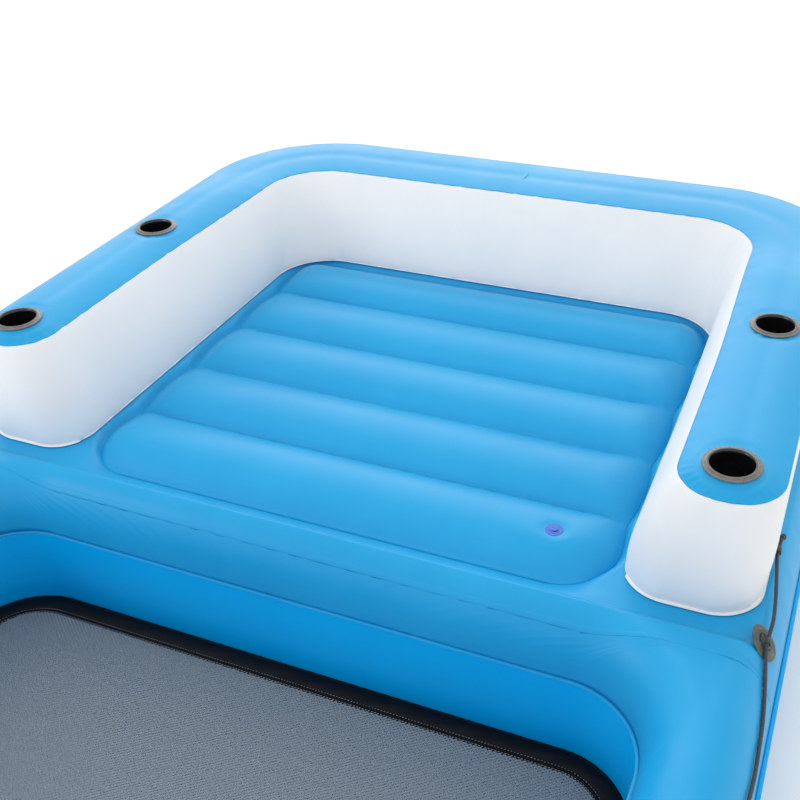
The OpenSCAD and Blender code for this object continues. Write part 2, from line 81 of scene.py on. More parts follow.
# Sizes that the nodes' boxes don't give
DECK_Z = 0.3565
GROOVE_Z = 0.342  # bottom of the mattress's grooves
TRAY_Z = 0.310  # what the mattress lies on
GUTTER_Z = 0.336  # bottom of the gutter between the mattress and the deck
SHOULDER_R = 0.104
MAT_SIDE_W, PANEL_SIDE_W = 0.098, 0.104  # width of the round sides of the mattress and the top panel
FOOT_CORNER_R, REAR_CORNER_R, SEAM_CORNER_R = 0.330, 0.440, 0.001
WELL_CORNER_R = 0.190
WELL_BOW = 0.012  # how far the well's wall bows between its seam and its foot
LOWER_INSET = 0.070  # how far the base draws in from its seam down to its foot
BORDER_W = 0.062
MAT_FRONT_R, MAT_REAR_R = 0.135, 0.095
MAT_TUCK = 0.012  # how far the deck reaches in under the mattress's edge
REST_HW, BAY_HW, LEAN = 0.988, 0.708, 0.080
RIDGES = 5
PITCH = (MAT_BACK - MAT_Y) / RIDGES
SKIN, HIDDEN_SKIN = 0.0012, 0.0010  # thickness of the film that shows, and of the film that doesn't
VALVE_HOLE_R, CUP_HOLE_R = 0.0125, 0.0525
CUPS = {
    name: (sum(span(f"cup_liner_{name}", 0)) / 2, sum(span(f"cup_liner_{name}", 1)) / 2)
    for name in ("front_left", "front_right", "rear_left", "rear_right")
}

# ---------------------------------------------------------------- shape functions


def mix(a, b, k):
    return a + (b - a) * k


def ease(k):
    c = np.clip(k, 0, 1)
    return c * c * (3 - 2 * c)


def flat_rise(d, r):
    """Height of a quarter round of radius r at depth d in from its edge, from 0 to 1."""
    return np.sqrt(1 - (1 - np.clip(d / r, 0, 1)) ** 2)


def rect_dist(x, y, hw, y0, y1, r0, r1):
    """Distance to a rounded rectangle, negative inside it."""
    r = np.where(y < (y0 + y1) / 2, r0, r1)
    qx = np.abs(x) - hw + r
    qy = np.abs(y - (y0 + y1) / 2) - (y1 - y0) / 2 + r
    return np.hypot(np.maximum(qx, 0), np.maximum(qy, 0)) + np.minimum(np.maximum(qx, qy), 0) - r


def bell(d, width):
    """1 at a distance of 0, fading over the width."""
    return np.exp(-((d / width) ** 2))


def arc(cx, cy, r, start, end, steps):
    """Points along an arc, with its angles in degrees."""
    a = np.radians(np.linspace(start, end, steps + 1))
    return np.stack([cx + r * np.cos(a), cy + r * np.sin(a)], 1)


def side(a, b, steps):
    """Points between two corners, without the corners."""
    k = np.linspace(0, 1, steps + 2)[1:-1, None]
    return mix(np.array(a), np.array(b), k)


def rect_loop(hw, y0, y1, r0, r1, turn=20, run=60):
    """Points round a rounded rectangle, r0 at its front corners and r1 at its rear ones."""
    return np.concatenate([
        arc(hw - r0, y0 + r0, r0, -90, 0, turn), side([hw, y0 + r0], [hw, y1 - r1], run),
        arc(hw - r1, y1 - r1, r1, 0, 90, turn), side([hw - r1, y1], [-hw + r1, y1], run),
        arc(-hw + r1, y1 - r1, r1, 90, 180, turn), side([-hw, y1 - r1], [-hw, y0 + r0], run),
        arc(-hw + r0, y0 + r0, r0, 180, 270, turn), side([-hw + r0, y0], [hw - r0, y0], run),
    ])


def outer_loop(inset, **counts):
    return rect_loop(BASE_HW - inset, FOOT_Y + inset, BACK_Y - inset,
                     FOOT_CORNER_R - inset, REAR_CORNER_R - inset, **counts)


def well_loop(grow, **counts):
    r = WELL_CORNER_R + grow
    return rect_loop(WELL_HW + grow, WELL_FRONT - grow, WELL_BACK + grow, r, r, **counts)


def deck_level(y):
    """Height of the base's top, which steps down from the well's ring to the lounge deck."""
    return mix(CROWN_Z, DECK_Z, ease((y - MAT_Y + 0.076) / 0.040))


def base_top(x, y):
    """Height of the top of the base chamber."""
    outer = -rect_dist(x, y, BASE_HW, FOOT_Y, BACK_Y, FOOT_CORNER_R, REAR_CORNER_R)
    inner = rect_dist(x, y, WELL_HW, WELL_FRONT, WELL_BACK, WELL_CORNER_R, WELL_CORNER_R)
    shoulder = mix(SEAM_Z, CROWN_Z, flat_rise(outer, SHOULDER_R) * flat_rise(inner, SHOULDER_R))
    level = deck_level(y)
    blunt = 0.004  # how softly the shoulder turns into the level top
    top = (shoulder + level - np.sqrt((shoulder - level) ** 2 + blunt ** 2) + blunt) / 2
    top = np.minimum(top, shoulder)
    out = rect_dist(x, y, MAT_HW, MAT_Y, MAT_BACK, MAT_FRONT_R, MAT_REAR_R) - scallop(x, y)
    reach = mix(0.024, 0.075, ease((MAT_Y + 0.050 - y) / 0.060))
    return mix(GUTTER_Z, top, 1 - (1 - np.clip(out / reach, 0, 1)) ** 2.0)


def scallop(x, y):
    """How far the mattress's sides stand out at the ends of its ridges, and in at its grooves."""
    inner = ease((y - MAT_Y - 0.04) / 0.10) * ease((MAT_BACK - 0.04 - y) / 0.10)
    return 0.013 * (ridge_phase(y) - 0.62) * inner * ease((np.abs(x) - 0.45) / 0.1)


def mat_dist(x, y):
    """Distance in from the mattress's outline."""
    return -rect_dist(x, y, MAT_HW, MAT_Y, MAT_BACK, MAT_FRONT_R, MAT_REAR_R)


def ridge_phase(y):
    """1 on the crest of a ridge and 0 in a groove."""
    return np.abs(np.sin(np.pi * (y - MAT_Y) / PITCH))


# ---------------------------------------------------------------- mesh helpers


def mesh_piece(name, points, faces, material, slot, smooth=True):
    mesh = bpy.data.meshes.new(name)
    mesh.from_pydata([tuple(p) for p in np.asarray(points, float).reshape(-1, 3)], [], faces)
    mesh.validate()
    mesh.polygons.foreach_set("use_smooth", [smooth] * len(mesh.polygons))
    mesh.materials.append(material)
    obj = bpy.data.objects.new(name, mesh)
    bpy.context.scene.collection.objects.link(obj)
    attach(obj, BODY)
    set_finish(obj, slot)
    return obj


def at_height(loop, z):
    """A loop of plan points at a height, or at one height for each point."""
    return np.c_[loop, np.broadcast_to(z, len(loop))]


def joined(parts):
    """Points and faces of several meshes as those of one."""
    points, faces = [], []
    for more, more_faces in parts:
        faces += [[v + len(points) for v in f] for f in more_faces]
        points += list(more)
    return points, faces


def grid_faces(rows, cols, close_rows=False, close_cols=False):
    j = np.arange(rows - (0 if close_rows else 1))[:, None]
    i = np.arange(cols - (0 if close_cols else 1))[None, :]
    k, n = (j + 1) % rows, (i + 1) % cols
    quads = np.stack(np.broadcast_arrays(j * cols + i, j * cols + n, k * cols + n, k * cols + i), -1)
    return quads.reshape(-1, 4).tolist()


def film(obj, thickness=SKIN):
    """Gives an open surface the thickness of its film, inwards."""
    solid = obj.modifiers.new("film", "SOLIDIFY")
    solid.thickness = thickness
    solid.offset = -1
    return obj


def grid_piece(name, grid, material, slot, close_rows=False, close_cols=False, holes=(),
               flip=False):
    """Piece from a grid of points. holes are (centre, radius): the film is cut away there."""
    rows, cols = grid.shape[:2]
    points = grid.reshape(-1, 3).copy()
    faces = grid_faces(rows, cols, close_rows, close_cols)
    for centre, radius in holes:
        away = points - np.array(centre)
        dist = np.maximum(np.linalg.norm(away, axis=1), 1e-6)[:, None]
        inside = dist[:, 0] < radius
        faces = [f for f in faces if not all(inside[v] for v in f)]
        points[inside] = np.array(centre) + (away * (radius / dist))[inside]
    if flip:
        faces = [f[::-1] for f in faces]
    used = sorted({v for f in faces for v in f})
    place = {v: i for i, v in enumerate(used)}
    return mesh_piece(name, points[used], [[place[v] for v in f] for f in faces], material, slot)


def closed_rings(rings):
    """Points and faces of a solid through rings of equal size, capped by a fan at each end."""
    rings = np.asarray(rings)
    count, size = rings.shape[:2]
    points = np.concatenate([rings.reshape(-1, 3), rings[0].mean(0)[None], rings[-1].mean(0)[None]])
    faces = grid_faces(count, size, close_cols=True)
    first_cap, last_cap = count * size, count * size + 1
    faces += [[first_cap, (i + 1) % size, i] for i in range(size)]
    last = (count - 1) * size
    faces += [[last_cap, last + i, last + (i + 1) % size] for i in range(size)]
    return points, faces


def turned(profile, angles):
    """Grid of points from a profile of (radius, height), turned about +Z."""
    return np.array([[(r * math.cos(t), r * math.sin(t), z) for r, z in profile] for t in angles])


def lathe(name, profile, place, material, slot, steps=96):
    """Closed ring or cup turned about +Z at place, from a closed profile of (radius, height)."""
    grid = turned(profile, full_turn(steps)) + np.array(place)
    return grid_piece(name, grid, material, slot, close_rows=True, close_cols=True)


def full_turn(steps):
    """Evenly spaced angles of a whole turn."""
    return np.linspace(0, 2 * np.pi, steps, endpoint=False)


def across_loop(loop):
    """Steps from the point before to the point after, all round a closed loop."""
    return np.roll(loop, -1, 0) - np.roll(loop, 1, 0)


def loop_run(loop):
    """Distance along a path or loop at each of its points."""
    return np.r_[0, np.cumsum(np.linalg.norm(np.diff(loop, axis=0), axis=1))]


def rings_round(path, ahead, radius, angles):
    """Rings round a path, square to ahead. radius is one number, or one for each point."""
    ahead = ahead / np.linalg.norm(ahead, axis=1)[:, None]
    s = np.cross(ahead, [0, 0, 1.0])
    s /= np.linalg.norm(s, axis=1)[:, None]
    v = np.cross(s, ahead)
    around = s[:, None] * np.cos(angles)[None, :, None] + v[:, None] * np.sin(angles)[None, :, None]
    return path[:, None] + np.asarray(radius)[..., None] * around


def vertex_places(mesh):
    places = np.empty(len(mesh.vertices) * 3)
    mesh.vertices.foreach_get("co", places)
    return places.reshape(-1, 3)


def mirrored(obj, name):
    """A left copy of a right piece."""
    mesh = obj.data.copy()
    mesh.name = name
    for vertex in mesh.vertices:
        vertex.co.x = -vertex.co.x
    mesh.flip_normals()
    copy = bpy.data.objects.new(name, mesh)
    bpy.context.scene.collection.objects.link(copy)
    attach(copy, BODY)
    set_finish(copy, obj["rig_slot"])
    return copy


# ---------------------------------------------------------------- materials


def set_range(node, low, high, to_low, to_high):
    for socket, number in (("From Min", low), ("From Max", high), ("To Min", to_low), ("To Max", to_high)):
        node.inputs[socket].default_value = number


class Shader:
    """A principled material and short calls that wire its texture nodes."""

    def __init__(self, name, colour, roughness, **sockets):
        self.material = bpy.data.materials.new(name)
        self.material.use_nodes = True
        self.tree = self.material.node_tree
        self.tree.nodes.clear()
        output = self.node("ShaderNodeOutputMaterial")
        self.bsdf = self.node("ShaderNodeBsdfPrincipled")
        self.link(self.bsdf.outputs[0], output.inputs[0])
        self.bsdf.inputs["Base Color"].default_value = (*colour, 1)
        self.bsdf.inputs["Roughness"].default_value = roughness
        for socket, value in sockets.items():
            self.bsdf.inputs[socket.replace("_", " ")].default_value = value
        self.place = self.node("ShaderNodeTexCoord").outputs["Object"]
        self.normal = None

    def node(self, kind):
        return self.tree.nodes.new(kind)

    def link(self, a, b):
        self.tree.links.new(a, b)

    def stretched(self, scale):
        mapping = self.node("ShaderNodeMapping")
        mapping.inputs["Scale"].default_value = scale
        self.link(self.place, mapping.inputs["Vector"])
        return mapping.outputs[0]

    def noise(self, scale, detail=2.0, rough=0.5, place=None):
        made = self.node("ShaderNodeTexNoise")
        made.inputs["Scale"].default_value = scale
        made.inputs["Detail"].default_value = detail
        made.inputs["Roughness"].default_value = rough
        self.link(place or self.place, made.inputs["Vector"])
        return made.outputs["Fac"]

    def cells(self, scale):
        made = self.node("ShaderNodeTexVoronoi")
        made.inputs["Scale"].default_value = scale
        self.link(self.place, made.inputs["Vector"])
        return made.outputs["Distance"]

    def ramp(self, value, stops):
        made = self.node("ShaderNodeValToRGB")
        elements = made.color_ramp.elements
        while len(elements) < len(stops):
            elements.new(0.5)
        for element, (at, colour) in zip(elements, stops):
            element.position = at
            element.color = (*colour, 1)
        self.link(value, made.inputs["Fac"])
        return made.outputs["Color"]

    def range(self, value, low, high, to_low, to_high):
        made = self.node("ShaderNodeMapRange")
        set_range(made, low, high, to_low, to_high)
        self.link(value, made.inputs["Value"])
        return made.outputs["Result"]

    def colour(self, value):
        self.link(value, self.bsdf.inputs["Base Color"])

    def rough(self, value):
        self.link(value, self.bsdf.inputs["Roughness"])

    def bump(self, height, strength, distance):
        made = self.node("ShaderNodeBump")
        made.inputs["Strength"].default_value = strength
        made.inputs["Distance"].default_value = distance
        self.link(height, made.inputs["Height"])
        if self.normal is not None:
            self.link(self.normal, made.inputs["Normal"])
        self.normal = made.outputs[0]
        self.link(self.normal, self.bsdf.inputs["Normal"])


def srgb(r, g, b):
    """Linear colour from 0-255 display values."""
    return tuple(c / 255 / 12.92 if c < 11 else ((c / 255 + 0.055) / 1.055) ** 2.4 for c in (r, g, b))


def pvc(name, light, main, dark, roughness, gloss=0.22):
    """PVC film: cloudy colour, fine emboss, long soft waves and scuffed patches of less gloss."""
    s = Shader(name, main, roughness, Specular_IOR_Level=gloss)
    s.colour(s.ramp(s.noise(2.2, 5, 0.6), [(0.25, dark), (0.52, main), (0.8, light)]))
    s.rough(s.range(s.noise(9, 6, 0.65), 0.3, 0.75, roughness - 0.05, roughness + 0.09))
    s.bump(s.noise(5.5, 2, 0.4), 0.25, 0.004)
    s.bump(s.noise(38, 3, 0.5), 0.12, 0.0012)
    s.bump(s.cells(900), 0.10, 0.00012)
    return s.material


def vinyl(name, main, light, roughness=0.42):
    """Leather-grained vinyl: pebbled cells, creases and lighter patches of painted highlight."""
    s = Shader(name, main, roughness, Specular_IOR_Level=0.14)
    grain = s.cells(420)
    # the light colour of this ramp is painted highlight, laid on in scattered patches
    s.colour(s.ramp(s.noise(30, 6, 0.7), [(0.3, main), (0.62, main), (0.85, light)]))
    s.rough(s.range(grain, 0, 0.8, roughness - 0.08, roughness + 0.14))
    s.bump(s.noise(14, 4, 0.6), 0.35, 0.003)
    s.bump(grain, 0.45, 0.0006)
    return s.material


def moulded(name, main, light, roughness, **sockets):
    """Moulded plastic: faint flow marks, a fine etched grain and worn, lighter patches."""
    s = Shader(name, main, roughness, **sockets)
    s.colour(s.ramp(s.noise(60, 5, 0.6), [(0.35, main), (0.75, light)]))
    s.rough(s.range(s.noise(150, 4, 0.6), 0.3, 0.7, max(roughness - 0.06, 0.02), roughness + 0.1))
    s.bump(s.noise(90, 3, 0.5), 0.15, 0.0006)
    s.bump(s.cells(1800), 0.12, 0.00008)
    return s.material


def woven(name, main, light, scale, roughness=0.62):
    """Polyester yarn: filaments across the light, with a soft sheen."""
    s = Shader(name, main, roughness, Sheen_Weight=0.25, Sheen_Roughness=0.4)
    yarn = s.noise(scale, 6, 0.7, s.stretched((1, 1, 0.35)))
    s.colour(s.ramp(yarn, [(0.3, main), (0.7, light)]))
    s.bump(yarn, 0.4, 0.0005)
    s.bump(s.cells(scale * 3), 0.25, 0.0002)
    return s.material


BLUE = pvc("pvc_blue", srgb(40, 166, 221), srgb(34, 160, 216), srgb(28, 154, 210), 0.33)
DEEP = pvc("pvc_deep_blue", srgb(2, 178, 244), srgb(0, 172, 240), srgb(0, 166, 234), 0.33)
WHITE = pvc("pvc_white", srgb(243, 243, 243), srgb(238, 239, 240), srgb(231, 233, 236), 0.42, 0.12)
BLACK = moulded("cup_black", srgb(12, 12, 14), srgb(22, 22, 25), 0.16, Specular_IOR_Level=0.6)
RING = moulded("cup_ring_grey", srgb(92, 88, 84), srgb(116, 110, 105), 0.27, Specular_IOR_Level=0.6)
NET = woven("mesh_net", srgb(96, 110, 121), srgb(134, 148, 158), 320)
# the second colour of each vinyl is its painted highlight
NAVY = vinyl("navy_vinyl", srgb(10, 14, 20), srgb(30, 36, 45))
PIPING = vinyl("navy_piping", srgb(7, 10, 15), srgb(24, 29, 37), 0.36)
THREAD = woven("stitch_thread", srgb(120, 126, 130), srgb(165, 170, 172), 900)
ROPE = woven("rope_dark", srgb(28, 34, 42), srgb(66, 76, 86), 700)
PATCH = moulded("patch_dark", srgb(62, 70, 68), srgb(96, 106, 100), 0.34)
STRAP = moulded("strap_dark", srgb(34, 44, 46), srgb(66, 78, 80), 0.42)
VALVE = moulded("valve_clear_blue", srgb(2, 78, 186), srgb(16, 112, 212), 0.16)

# ---------------------------------------------------------------- camera, light and floor


def camera():
    data = bpy.data.cameras.new("camera")
    data.lens = 47.74
    data.shift_x = -0.0625
    data.sensor_width = 36
    data.clip_end = 60
    obj = bpy.data.objects.new("camera", data)
    obj.location = (1.046, -1.739, 1.920)
    obj.rotation_euler = [math.radians(a) for a in (56.64, 1.64, 22.27)]
    bpy.context.scene.collection.objects.link(obj)
    bpy.context.scene.camera = obj


LIT_PLACE = (0, 0.2, 0.3)
BRIGHT_SIDE = (-0.30, 0.82, 0.48)


def area_light(name, place, size, power):
    """Round white lamp that shines on the middle of the float."""
    data = bpy.data.lights.new(name, "AREA")
    data.shape = "DISK"
    data.size = size
    data.energy = power
    obj = bpy.data.objects.new(name, data)
    obj.location = place
    obj.rotation_euler = (Vector(LIT_PLACE) - Vector(place)).to_track_quat("-Z", "Y").to_euler()
    bpy.context.scene.collection.objects.link(obj)


def light_tent(tree):
    """White surroundings that are brighter towards the back, low over the horizon."""
    place = tree.nodes.new("ShaderNodeTexCoord")
    dot = tree.nodes.new("ShaderNodeVectorMath")
    dot.operation = "DOT_PRODUCT"
    dot.inputs[1].default_value = Vector(BRIGHT_SIDE).normalized()
    tree.links.new(place.outputs["Generated"], dot.inputs[0])
    glow = tree.nodes.new("ShaderNodeMapRange")
    glow.interpolation_type = "SMOOTHSTEP"
    set_range(glow, 0.76, 0.98, 1.0, 2.3)
    tree.links.new(dot.outputs["Value"], glow.inputs["Value"])
    tree.links.new(glow.outputs["Result"], tree.nodes["Background"].inputs["Strength"])
    tree.nodes["Background"].inputs["Color"].default_value = (1, 1, 1, 1)


def studio():
    scene = bpy.context.scene
    scene.view_settings.view_transform = "Standard"
    world = bpy.data.worlds.new("studio")
    world.use_nodes = True
    light_tent(world.node_tree)
    scene.world = world
    area_light("key_above_back", (-1.2, 4.6, 3.6), 3.4, 5)
    area_light("fill_front_left", (-3.6, -2.8, 2.6), 2.4, 38)
    bpy.ops.mesh.primitive_plane_add(size=60, location=(0, 0, -0.0005))
    floor = bpy.context.object
    floor.name = "floor"
    shader = Shader("floor_paper", (0.93, 0.93, 0.93), 0.85)
    shades = [(0.3, (0.92, 0.92, 0.92)), (0.7, (0.94, 0.94, 0.94))]
    shader.colour(shader.ramp(shader.noise(3, 3), shades))
    shader.bump(shader.noise(120, 3), 0.05, 0.0005)
    floor.data.materials.append(shader.material)


# ---------------------------------------------------------------- base chamber


def edge_steps(count, power=1.6):
    """Shares from 0 to 1 that lie closer together at both ends."""
    k = np.linspace(-1, 1, count)
    return 0.5 + 0.5 * np.sign(k) * (1 - (1 - np.abs(k)) ** power)


def ripple(run, period, seed):
    """Uneven waves along a seam, always the same for the same seed."""
    t = 2 * np.pi * run / period
    waves = np.sin(t + seed) + 0.6 * np.sin(1.73 * t + 2.1 * seed) + 0.4 * np.sin(2.91 * t + 0.7 * seed)
    return waves / 2


def inflate(obj, pins, cap, pressure=4.0, frames=20):
    """Lets air pressure shape a skin by cloth simulation, with each point moved by cap at most."""
    group = obj.vertex_groups.new(name="held")
    group.add(np.flatnonzero(pins).tolist(), 1.0, "REPLACE")
    cloth = obj.modifiers.new("air", "CLOTH")
    skin = cloth.settings
    skin.quality = 5
    skin.mass = 0.15
    skin.air_damping = 2.0
    skin.tension_stiffness = skin.compression_stiffness = 12
    skin.shear_stiffness = 6
    skin.bending_stiffness = 0.8
    skin.use_pressure = True
    skin.uniform_pressure_force = pressure
    skin.vertex_group_mass = "held"
    skin.effector_weights.gravity = 0
    cloth.collision_settings.use_collision = False
    cloth.collision_settings.use_self_collision = False
    cloth.point_cache.frame_start, cloth.point_cache.frame_end = 1, frames
    scene = bpy.context.scene
    for number in range(1, frames + 1):
        scene.frame_set(number)
    shown = obj.evaluated_get(bpy.context.evaluated_depsgraph_get()).to_mesh()
    start = vertex_places(obj.data)
    move = vertex_places(shown) - start
    length = np.maximum(np.linalg.norm(move, axis=1), 1e-9)[:, None]
    move *= cap * np.tanh(length / cap) / length
    obj.modifiers.remove(cloth)
    obj.vertex_groups.remove(group)
    scene.frame_set(1)
    obj.data.vertices.foreach_set("co", (start + move).ravel())
    obj.data.update()


def base_surface(inner, outer, steps):
    """Grid on the top of the base between two loops of points, puckered along its seams."""
    shares = edge_steps(steps)
    grid = np.array([mix(inner, outer, k) for k in shares])
    x, y = grid[..., 0], grid[..., 1]
    z = base_top(x, y)
    run = loop_run(outer)[None, :]
    well = rect_dist(x, y, WELL_HW, WELL_FRONT, WELL_BACK, WELL_CORNER_R, WELL_CORNER_R)
    rim = -rect_dist(x, y, BASE_HW, FOOT_Y, BACK_Y, FOOT_CORNER_R, REAR_CORNER_R)
    z = z + 0.0016 * ripple(run, 0.085, 1.0) * bell(rim - 0.012, 0.020)
    z = z + 0.0018 * ripple(run, 0.070, 4.0) * bell(well - 0.010, 0.022)
    return np.concatenate([grid, z[..., None]], 2)


def well_bow(k):
    """How far the well's wall bows into the well at a share of the way down from its seam."""
    return WELL_BOW * np.sin(np.pi * k) ** 0.8


def base_pieces():
    counts = {"turn": 24, "run": 90}
    mattress = rect_loop(MAT_HW - MAT_TUCK, MAT_Y + MAT_TUCK, MAT_BACK - MAT_TUCK,
                         MAT_FRONT_R - MAT_TUCK, MAT_REAR_R - MAT_TUCK, **counts)
    deck_edge = rect_loop(BASE_HW, DECK_SEAM_Y, BACK_Y, SEAM_CORNER_R, REAR_CORNER_R, **counts)
    deck = grid_piece("lounge_deck_skin", base_surface(mattress, deck_edge, 64), BLUE, "pvc_blue",
                      close_cols=True, flip=True)
    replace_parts(film(deck), "lounge_deck_sheet")

    ring_edge = rect_loop(BASE_HW, FOOT_Y, DECK_SEAM_Y, FOOT_CORNER_R, SEAM_CORNER_R, **counts)
    ring = grid_piece("well_ring_top_skin", base_surface(well_loop(0, **counts), ring_edge, 60),
                      BLUE, "pvc_blue", close_cols=True, flip=True)
    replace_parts(film(ring), "well_ring_top_sheet")

    run = loop_run(outer_loop(0))
    centre = np.array([0, (FOOT_Y + BACK_Y) / 2])
    wall = []
    for k in np.sin(np.linspace(0, np.pi / 2, 26)):
        crease = 0.0016 * ripple(run, 0.09, 2.0) * math.exp(-((k - 0.05) / 0.07) ** 2)
        loop = outer_loop(LOWER_INSET * (1 - math.sqrt(1 - k * k)))
        loop = loop + (centre - loop) * (crease / np.linalg.norm(loop - centre, axis=1))[:, None]
        wall.append(at_height(loop, mix(SEAM_Z, 0.002, k)))
    hull = grid_piece("base_lower_skin", np.array(wall), BLUE, "pvc_blue", close_cols=True,
                      holes=[valve_holes()["base"]])
    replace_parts(film(hull), "base_lower_wall")

    inside, outside = well_loop(0.001), outer_loop(LOWER_INSET)
    shares = np.linspace(0, 1, 22)
    grid = np.array([at_height(mix(inside, outside, k), 0.0022) for k in shares])
    grid[..., 2] += 0.0018 * np.abs(np.sin(grid[..., 1] * np.pi / 0.24)) * np.sin(np.pi * shares)[:, None]
    bottom = grid_piece("base_bottom_skin", grid, BLUE, "pvc_blue", close_cols=True)
    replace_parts(film(bottom, HIDDEN_SKIN), "base_bottom_sheet")

    shares = np.linspace(0, 1, 18)
    grid = np.array([at_height(well_loop(-well_bow(k)), mix(SEAM_Z, SHEET, k)) for k in shares])
    well = grid_piece("well_wall_skin", grid, DEEP, "pvc_deep_blue", close_cols=True, flip=True)
    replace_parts(film(well), "well_wall")


def lap(name, loop_at, offsets, heights, material, slot):
    """Welded lap along a loop: offsets and heights trace its closed cross-section."""
    grid = np.array([at_height(loop_at(o), z) for o, z in zip(offsets, heights)])
    return grid_piece(name, grid, material, slot, close_rows=True, close_cols=True)


def seam_pieces():
    heights = [SEAM_Z + up for up in (0.0014, 0.0007, 0.0010, 0, -0.0010, -0.0007, -0.0014)]
    outer = lap("base_seam_lap", lambda o: outer_loop(-o),
                (-0.0005, 0.0040, 0.0095, 0.0100, 0.0095, 0.0040, -0.0005), heights, DEEP, "pvc_deep_blue")
    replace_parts(outer, "base_seam_flange")
    inner = lap("well_seam_lap", lambda o: well_loop(-o),
                (-0.0005, 0.0030, 0.0072, 0.0080, 0.0072, 0.0030, -0.0005), heights, BLUE, "pvc_blue")
    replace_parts(inner, "well_seam_flange")
    side_gap = 0.004
    x = np.linspace(-BASE_HW + side_gap, BASE_HW - side_gap, 360)
    rows = []
    for across, up in ((-0.0050, -0.0004), (-0.0040, 0.0006), (-0.0015, 0.0009), (0.0015, 0.0009),
                       (0.0040, 0.0006), (0.0050, -0.0004)):
        y = np.full_like(x, DECK_SEAM_Y + across)
        rows.append(np.c_[x, y, base_top(x, y) + up])
    grid_piece("deck_weld_line", np.array(rows), BLUE, "pvc_blue", close_rows=True)
    joint_x = -0.06
    z = np.linspace(SHEET + 0.004, SEAM_Z - 0.002, 30)
    face = WELL_BACK - well_bow((SEAM_Z - z) / (SEAM_Z - SHEET))
    rows = [np.c_[np.full_like(z, joint_x + across), face - up, z]
            for across, up in ((-0.006, -0.0003), (-0.005, 0.0006), (0.005, 0.0006), (0.006, -0.0003))]
    grid_piece("well_wall_joint", np.array(rows), DEEP, "pvc_deep_blue", close_rows=True, flip=True)


# ---------------------------------------------------------------- mattress


def mattress_pieces():
    rows = np.linspace(0, 1, 200)
    bunched = 0.06  # how far the rows draw together at both ends
    y = mix(MAT_Y, MAT_BACK, 0.5 - 0.5 * np.cos(np.pi * rows) * bunched + (rows - 0.5) * (1 - bunched))
    y = np.clip(y, MAT_Y, MAT_BACK)
    front = np.clip(MAT_FRONT_R - (y - MAT_Y), 0, None)
    rear = np.clip(MAT_REAR_R - (MAT_BACK - y), 0, None)
    hw = (MAT_HW - (MAT_FRONT_R - np.sqrt(MAT_FRONT_R ** 2 - front ** 2))
          - (MAT_REAR_R - np.sqrt(MAT_REAR_R ** 2 - rear ** 2)))
    u = 2 * edge_steps(190, 1.35) - 1
    x = hw[:, None] * u[None, :]
    yy = np.repeat(y[:, None], len(u), 1)
    dist = mat_dist(x, yy)
    phase = ridge_phase(yy)
    webbed = mix(0.72, 1.0, ease((MAT_HW - 0.010 - np.abs(x)) / 0.110))
    crest = mix(CREST_Z + 0.006, GROOVE_Z, (1 - phase ** 0.52) * webbed)
    pucker = ripple(np.abs(x), 0.055, 3.0) * bell(phase, 0.30) * webbed * 0.0012
    z = mix(GUTTER_Z + 0.001, crest + pucker, 1 - (1 - np.clip(dist / MAT_SIDE_W, 0, 1)) ** 2.1)
    near = 1 - ease(dist / 0.070)
    x = x + np.sign(x) * near * scallop(x, yy)
    grid = np.stack([x, yy, z], 2)
    centre, radius = valve_holes()["mattress"]
    away = np.hypot(grid[..., 0] - centre[0], grid[..., 1] - centre[1])
    grid[..., 2] = mix(grid[..., 2], CREST_Z, np.exp(-(away / 0.030) ** 4))
    top = grid_piece("mattress_skin", grid, BLUE, "pvc_blue", holes=[(centre, radius)])
    x, y = vertex_places(top.data)[:, :2].T
    by_valve = np.hypot(x - centre[0], y - centre[1]) < 0.034
    held = (ridge_phase(y) < 0.10) | (mat_dist(x, y) < 0.012) | by_valve
    inflate(top, held, cap=0.004)
    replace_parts(film(top), "mattress_top_sheet")

    gap = 0.004
    loop = rect_loop(MAT_HW - gap, MAT_Y + gap, MAT_BACK - gap, MAT_FRONT_R, MAT_REAR_R)
    centre = np.array([0, (MAT_Y + MAT_BACK) / 2])
    shares = np.linspace(0.02, 1, 24)
    grid = np.array([at_height(mix(centre, loop, k), TRAY_Z + 0.002) for k in shares])
    grid[..., 2] += 0.002 * ridge_phase(grid[..., 1]) * (1 - shares[:, None] ** 4)
    bottom = grid_piece("mattress_bottom_skin", grid, BLUE, "pvc_blue", close_cols=True)
    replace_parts(film(bottom, HIDDEN_SKIN), "mattress_bottom_sheet")


# ---------------------------------------------------------------- backrest

# Points along the U: round an arm's end, along the arm, round the bend, and along half the back
END_STEPS, ARM_STEPS, TURN_STEPS, BACK_STEPS = 26, 70, 26, 44
# Middle of an arm's round end: distance from the middle of the float, and behind the mattress's front
ARM_END_X, ARM_END_IN = 0.894, 0.120


